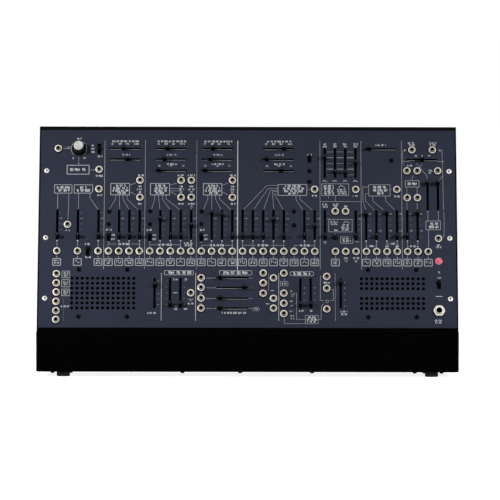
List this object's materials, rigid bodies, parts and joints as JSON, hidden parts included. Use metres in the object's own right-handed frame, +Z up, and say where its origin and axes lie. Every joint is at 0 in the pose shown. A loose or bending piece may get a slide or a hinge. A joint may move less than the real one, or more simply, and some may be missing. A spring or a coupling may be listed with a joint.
{
  "type": "desktop semi-modular synthesizer",
  "caption": "Desktop analogue synthesizer case with a sloping panel of slide faders, patch sockets and small switches, a gain knob and speaker grilles.",
  "frame": {"origin": "on the ground under the middle of the case's box", "axes": "+X to the player's right along the case, +Y towards the back, +Z up"},
  "size_m": [0.52, 0.129, 0.3087],
  "materials": {
    "case_paint": "black powder coat, fine texture",
    "panel_paint": "satin blue-grey, printed in pale grey",
    "board_resin": "lacquered glass-fibre board",
    "ribbon_skin": "ribbed flat cable",
    "speaker_paper": "dark paper cone",
    "nickel": "nickel plate, slightly warm",
    "red_lens": "clear red lamp lens",
    "rubber": "black rubber",
    "knob_metal": "turned aluminium cap in a black skirt",
    "button_plastic": "moulded black",
    "switch_plastic": "moulded black",
    "cap_plastic": "moulded black with a clear tip"
  },
  "bodies": {
    "housing": {"rear_case": "case_paint", "base_tray": "case_paint", "front_panel": "panel_paint", "upper_board": "board_resin", "lower_board": "board_resin", "rear_board": "board_resin", "board_ribbon": "ribbon_skin", "left_speaker": "speaker_paper", "right_speaker": "speaker_paper", "phones_jack": "nickel", "power_lamp": "red_lens", "foot_front_left": "rubber", "foot_front_right": "rubber", "foot_rear_left": "rubber", "foot_rear_right": "rubber"},
    "gain_knob": {"gain_knob": "knob_metal"},
    "start_button": {"start_button": "button_plastic"},
    "power_switch": {"power_switch": "switch_plastic"},
    "preamp_range_switch": {"preamp_range_switch": "switch_plastic"},
    "filter_mode_switch": {"filter_mode_switch": "switch_plastic"},
    "oscillator_1_range_switch": {"oscillator_1_range_switch": "switch_plastic"},
    "oscillator_2_range_switch": {"oscillator_2_range_switch": "switch_plastic"},
    "oscillator_3_range_switch": {"oscillator_3_range_switch": "switch_plastic"},
    "coupling_switch": {"coupling_switch": "switch_plastic"},
    "pan_fader": {"pan_fader": "cap_plastic"},
    "amplifier_gain_fader": {"amplifier_gain_fader": "cap_plastic"},
    "attack_fader": {"attack_fader": "cap_plastic"},
    "decay_fader": {"decay_fader": "cap_plastic"},
    "sustain_fader": {"sustain_fader": "cap_plastic"},
    "release_fader": {"release_fader": "cap_plastic"},
    "reverb_left_fader": {"reverb_left_fader": "cap_plastic"},
    "reverb_right_fader": {"reverb_right_fader": "cap_plastic"},
    "main_fader_00": {"main_fader_00": "cap_plastic"},
    "main_fader_02": {"main_fader_02": "cap_plastic"},
    "main_fader_04": {"main_fader_04": "cap_plastic"},
    "main_fader_06": {"main_fader_06": "cap_plastic"},
    "main_fader_07": {"main_fader_07": "cap_plastic"},
    "main_fader_08": {"main_fader_08": "cap_plastic"},
    "main_fader_10": {"main_fader_10": "cap_plastic"},
    "main_fader_11": {"main_fader_11": "cap_plastic"},
    "main_fader_12": {"main_fader_12": "cap_plastic"},
    "main_fader_13": {"main_fader_13": "cap_plastic"},
    "main_fader_15": {"main_fader_15": "cap_plastic"},
    "main_fader_16": {"main_fader_16": "cap_plastic"},
    "main_fader_17": {"main_fader_17": "cap_plastic"},
    "main_fader_18": {"main_fader_18": "cap_plastic"},
    "main_fader_19": {"main_fader_19": "cap_plastic"},
    "main_fader_20": {"main_fader_20": "cap_plastic"},
    "main_fader_21": {"main_fader_21": "cap_plastic"},
    "main_fader_22": {"main_fader_22": "cap_plastic"},
    "main_fader_24": {"main_fader_24": "cap_plastic"},
    "main_fader_25": {"main_fader_25": "cap_plastic"},
    "main_fader_26": {"main_fader_26": "cap_plastic"},
    "main_fader_29": {"main_fader_29": "cap_plastic"},
    "main_fader_30": {"main_fader_30": "cap_plastic"},
    "main_fader_31": {"main_fader_31": "cap_plastic"},
    "main_fader_32": {"main_fader_32": "cap_plastic"},
    "main_fader_33": {"main_fader_33": "cap_plastic"},
    "main_fader_34": {"main_fader_34": "cap_plastic"},
    "main_fader_35": {"main_fader_35": "cap_plastic"}
  },
  "joints": [
    {"name": "gain_knob_turn", "type": "hinge", "parent": "housing", "child": "gain_knob", "pos_m": [-0.21087, 0.02099, 0.28081], "axis": [0, -0.9483, 0.3173], "range_deg": [-150, 150]},
    {"name": "start_button_press", "type": "slide", "parent": "housing", "child": "start_button", "axis": [0, 0.9483, -0.3173], "range_m": [0, 0.0015], "stiffness_N_per_m": 300},
    {"name": "power_switch_slide", "type": "slide", "parent": "housing", "child": "power_switch", "axis": [0, 0.3173, 0.9483], "range_m": [-0.0056, 0]},
    {"name": "preamp_range_switch_slide", "type": "slide", "parent": "housing", "child": "preamp_range_switch", "axis": [0, 0.3173, 0.9483], "range_m": [-0.004, 0.004]},
    {"name": "filter_mode_switch_slide", "type": "slide", "parent": "housing", "child": "filter_mode_switch", "axis": [0, 0.3173, 0.9483], "range_m": [-0.0048, 0]},
    {"name": "oscillator_1_range_switch_slide", "type": "slide", "parent": "housing", "child": "oscillator_1_range_switch", "axis": [0, 0.3173, 0.9483], "range_m": [-0.0048, 0]},
    {"name": "oscillator_2_range_switch_slide", "type": "slide", "parent": "housing", "child": "oscillator_2_range_switch", "axis": [0, 0.3173, 0.9483], "range_m": [-0.0048, 0]},
    {"name": "oscillator_3_range_switch_slide", "type": "slide", "parent": "housing", "child": "oscillator_3_range_switch", "axis": [0, 0.3173, 0.9483], "range_m": [-0.0048, 0]},
    {"name": "coupling_switch_slide", "type": "slide", "parent": "housing", "child": "coupling_switch", "axis": [0, 0.3173, 0.9483], "range_m": [-0.006, 0]},
    {"name": "pan_fader_slide", "type": "slide", "parent": "housing", "child": "pan_fader", "axis": [1, 0, 0], "range_m": [-0.015, 0.015]},
    {"name": "amplifier_gain_fader_slide", "type": "slide", "parent": "housing", "child": "amplifier_gain_fader", "axis": [1, 0, 0], "range_m": [0, 0.03]},
    {"name": "attack_fader_slide", "type": "slide", "parent": "housing", "child": "attack_fader", "axis": [0, 0.3173, 0.9483], "range_m": [-0.0213, 0.0087]},
    {"name": "decay_fader_slide", "type": "slide", "parent": "housing", "child": "decay_fader", "axis": [0, 0.3173, 0.9483], "range_m": [-0.0021, 0.0279]},
    {"name": "sustain_fader_slide", "type": "slide", "parent": "housing", "child": "sustain_fader", "axis": [0, 0.3173, 0.9483], "range_m": [-0.0015, 0.0285]},
    {"name": "release_fader_slide", "type": "slide", "parent": "housing", "child": "release_fader", "axis": [0, 0.3173, 0.9483], "range_m": [-0.0147, 0.0153]},
    {"name": "reverb_left_fader_slide", "type": "slide", "parent": "housing", "child": "reverb_left_fader", "axis": [0, 0.3173, 0.9483], "range_m": [-0.03, 0]},
    {"name": "reverb_right_fader_slide", "type": "slide", "parent": "housing", "child": "reverb_right_fader", "axis": [0, 0.3173, 0.9483], "range_m": [-0.03, 0]},
    {"name": "main_fader_00_slide", "type": "slide", "parent": "housing", "child": "main_fader_00", "axis": [0, 0.3173, 0.9483], "range_m": [0, 0.03]},
    {"name": "main_fader_02_slide", "type": "slide", "parent": "housing", "child": "main_fader_02", "axis": [0, 0.3173, 0.9483], "range_m": [0, 0.03]},
    {"name": "main_fader_04_slide", "type": "slide", "parent": "housing", "child": "main_fader_04", "axis": [0, 0.3173, 0.9483], "range_m": [0, 0.03]},
    {"name": "main_fader_06_slide", "type": "slide", "parent": "housing", "child": "main_fader_06", "axis": [0, 0.3173, 0.9483], "range_m": [0, 0.03]},
    {"name": "main_fader_07_slide", "type": "slide", "parent": "housing", "child": "main_fader_07", "axis": [0, 0.3173, 0.9483], "range_m": [0, 0.03]},
    {"name": "main_fader_08_slide", "type": "slide", "parent": "housing", "child": "main_fader_08", "axis": [0, 0.3173, 0.9483], "range_m": [0, 0.03]},
    {"name": "main_fader_10_slide", "type": "slide", "parent": "housing", "child": "main_fader_10", "axis": [0, 0.3173, 0.9483], "range_m": [-0.0219, 0.0081]},
    {"name": "main_fader_11_slide", "type": "slide", "parent": "housing", "child": "main_fader_11", "axis": [0, 0.3173, 0.9483], "range_m": [0, 0.03]},
    {"name": "main_fader_12_slide", "type": "slide", "parent": "housing", "child": "main_fader_12", "axis": [0, 0.3173, 0.9483], "range_m": [0, 0.03]},
    {"name": "main_fader_13_slide", "type": "slide", "parent": "housing", "child": "main_fader_13", "axis": [0, 0.3173, 0.9483], "range_m": [-0.0135, 0.0165]},
    {"name": "main_fader_15_slide", "type": "slide", "parent": "housing", "child": "main_fader_15", "axis": [0, 0.3173, 0.9483], "range_m": [-0.03, 0]},
    {"name": "main_fader_16_slide", "type": "slide", "parent": "housing", "child": "main_fader_16", "axis": [0, 0.3173, 0.9483], "range_m": [-0.027, 0.003]},
    {"name": "main_fader_17_slide", "type": "slide", "parent": "housing", "child": "main_fader_17", "axis": [0, 0.3173, 0.9483], "range_m": [0, 0.03]},
    {"name": "main_fader_18_slide", "type": "slide", "parent": "housing", "child": "main_fader_18", "axis": [0, 0.3173, 0.9483], "range_m": [0, 0.03]},
    {"name": "main_fader_19_slide", "type": "slide", "parent": "housing", "child": "main_fader_19", "axis": [0, 0.3173, 0.9483], "range_m": [0, 0.03]},
    {"name": "main_fader_20_slide", "type": "slide", "parent": "housing", "child": "main_fader_20", "axis": [0, 0.3173, 0.9483], "range_m": [0, 0.03]},
    {"name": "main_fader_21_slide", "type": "slide", "parent": "housing", "child": "main_fader_21", "axis": [0, 0.3173, 0.9483], "range_m": [-0.021, 0.009]},
    {"name": "main_fader_22_slide", "type": "slide", "parent": "housing", "child": "main_fader_22", "axis": [0, 0.3173, 0.9483], "range_m": [0, 0.03]},
    {"name": "main_fader_24_slide", "type": "slide", "parent": "housing", "child": "main_fader_24", "axis": [0, 0.3173, 0.9483], "range_m": [0, 0.03]},
    {"name": "main_fader_25_slide", "type": "slide", "parent": "housing", "child": "main_fader_25", "axis": [0, 0.3173, 0.9483], "range_m": [-0.0129, 0.0171]},
    {"name": "main_fader_26_slide", "type": "slide", "parent": "housing", "child": "main_fader_26", "axis": [0, 0.3173, 0.9483], "range_m": [0, 0.03]},
    {"name": "main_fader_29_slide", "type": "slide", "parent": "housing", "child": "main_fader_29", "axis": [0, 0.3173, 0.9483], "range_m": [0, 0.03]},
    {"name": "main_fader_30_slide", "type": "slide", "parent": "housing", "child": "main_fader_30", "axis": [0, 0.3173, 0.9483], "range_m": [-0.0282, 0.0018]},
    {"name": "main_fader_31_slide", "type": "slide", "parent": "housing", "child": "main_fader_31", "axis": [0, 0.3173, 0.9483], "range_m": [0, 0.03]},
    {"name": "main_fader_32_slide", "type": "slide", "parent": "housing", "child": "main_fader_32", "axis": [0, 0.3173, 0.9483], "range_m": [-0.03, 0]},
    {"name": "main_fader_33_slide", "type": "slide", "parent": "housing", "child": "main_fader_33", "axis": [0, 0.3173, 0.9483], "range_m": [0, 0.03]},
    {"name": "main_fader_34_slide", "type": "slide", "parent": "housing", "child": "main_fader_34", "axis": [0, 0.3173, 0.9483], "range_m": [0, 0.03]},
    {"name": "main_fader_35_slide", "type": "slide", "parent": "housing", "child": "main_fader_35", "axis": [0, 0.3173, 0.9483], "range_m": [-0.03, 0]}
  ]
}
